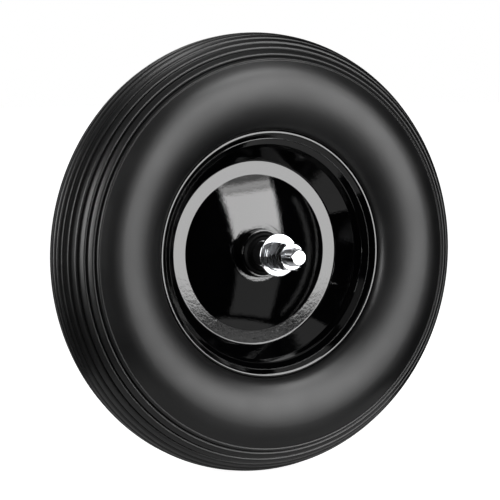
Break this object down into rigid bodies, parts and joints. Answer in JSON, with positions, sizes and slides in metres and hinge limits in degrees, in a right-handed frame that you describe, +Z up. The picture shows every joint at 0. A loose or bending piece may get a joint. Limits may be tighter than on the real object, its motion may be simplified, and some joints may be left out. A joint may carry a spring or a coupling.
{
  "type": "wheelbarrow wheel",
  "caption": "Wheelbarrow wheel with a solid ribbed tyre on a pressed steel rim, a ball-bearing hub and a threaded axle with washers and nuts at both ends.",
  "frame": {"origin": "middle of the wheel, where the axle crosses the rim's weld plane", "axes": "+Y along the axle towards the rear, -Y towards the front face, +Z up"},
  "size_m": [0.4, 0.168, 0.4],
  "materials": {
    "tyre_foam": "matt moulded skin",
    "rim_paint": "gloss black coat with a light orange peel",
    "zinc_plate": "bright zinc plate",
    "bearing_steel": "ground bearing steel",
    "cage_plastic": "moulded nylon",
    "seal_rubber": "moulded rubber",
    "cover_plastic": "gloss black",
    "sleeve_plastic": "matt black"
  },
  "bodies": {
    "axle_set": {"axle": "zinc_plate", "bearing_distance_sleeve": "bearing_steel", "bearing_inner_race_front": "bearing_steel", "bearing_inner_race_rear": "bearing_steel", "spacer_sleeve_front": "sleeve_plastic", "spacer_sleeve_rear": "sleeve_plastic", "large_washer_front": "zinc_plate", "large_washer_rear": "zinc_plate", "lock_washer_front": "zinc_plate", "lock_washer_rear": "zinc_plate", "axle_nut_front": "zinc_plate", "axle_nut_rear": "zinc_plate", "jam_nut_front": "zinc_plate", "jam_nut_rear": "zinc_plate"},
    "wheel": {"tyre": "tyre_foam", "hub_tube": "rim_paint", "rim_half_front": "rim_paint", "rim_half_rear": "rim_paint", "bearing_outer_race_front": "bearing_steel", "bearing_outer_race_rear": "bearing_steel", "bearing_seal_outer_front": "seal_rubber", "bearing_seal_outer_rear": "seal_rubber", "bearing_seal_inner_front": "seal_rubber", "bearing_seal_inner_rear": "seal_rubber", "dust_cover_front": "cover_plastic", "dust_cover_rear": "cover_plastic"},
    "ball_set_front": {"bearing_balls_front": "bearing_steel", "bearing_cage_front": "cage_plastic"},
    "ball_set_rear": {"bearing_balls_rear": "bearing_steel", "bearing_cage_rear": "cage_plastic"}
  },
  "joints": [
    {"name": "wheel_spin", "type": "hinge", "parent": "axle_set", "child": "wheel", "pos_m": [0, 0, 0], "axis": [0, 1, 0], "continuous": true},
    {"name": "ball_orbit_front", "type": "hinge", "parent": "axle_set", "child": "ball_set_front", "pos_m": [0, -0.011, 0], "axis": [0, 1, 0], "continuous": true},
    {"name": "ball_orbit_rear", "type": "hinge", "parent": "axle_set", "child": "ball_set_rear", "pos_m": [0, 0.011, 0], "axis": [0, 1, 0], "continuous": true}
  ],
  "couplings": [
    {"joint": "ball_orbit_front", "follows": "wheel_spin", "ratio": 0.6175},
    {"joint": "ball_orbit_rear", "follows": "wheel_spin", "ratio": 0.6175}
  ]
}
